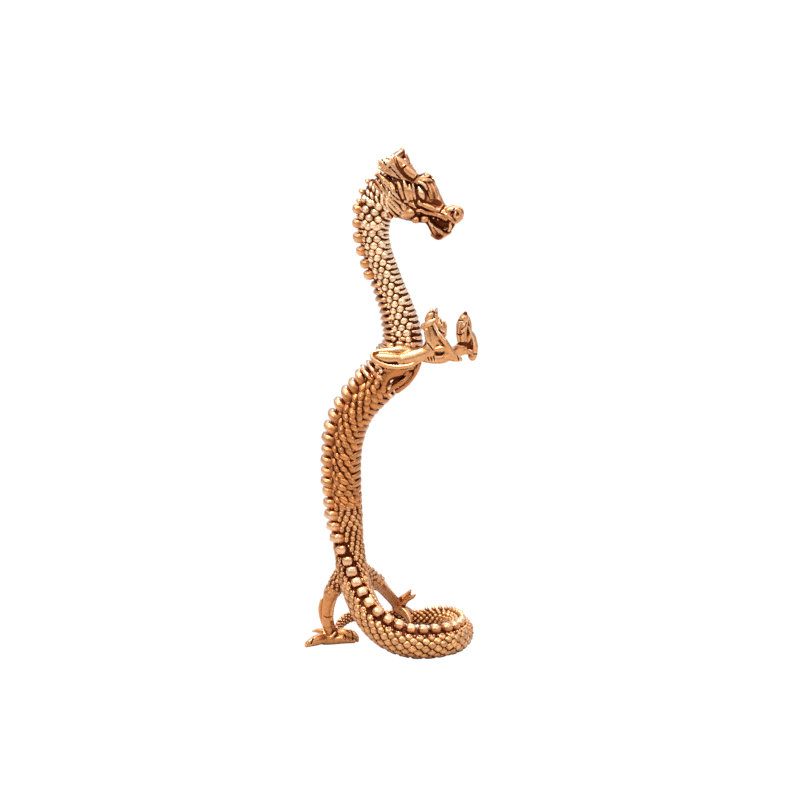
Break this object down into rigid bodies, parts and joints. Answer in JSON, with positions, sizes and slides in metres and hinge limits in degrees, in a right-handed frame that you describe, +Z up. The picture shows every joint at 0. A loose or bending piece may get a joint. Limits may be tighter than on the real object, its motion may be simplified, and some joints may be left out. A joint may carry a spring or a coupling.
{
  "type": "dragon sculpture",
  "caption": "Slender cast dragon that rears upright on its hind feet and coiled tail, with a scaly body, spiked back, raised foreclaws and a horned, open-mouthed head.",
  "frame": {"origin": "middle of the bounding box, on the surface that the dragon stands on", "axes": "+Z up along the dragon's height, +X the way the dragon looks and its tail coils round"},
  "size_m": [0.0524, 0.0463, 0.155],
  "materials": {
    "polished_copper": "polished copper-coloured cast alloy, with dark brown patina left in the recesses"
  },
  "bodies": {
    "root": {"dragon": "polished_copper"}
  },
  "joints": []
}
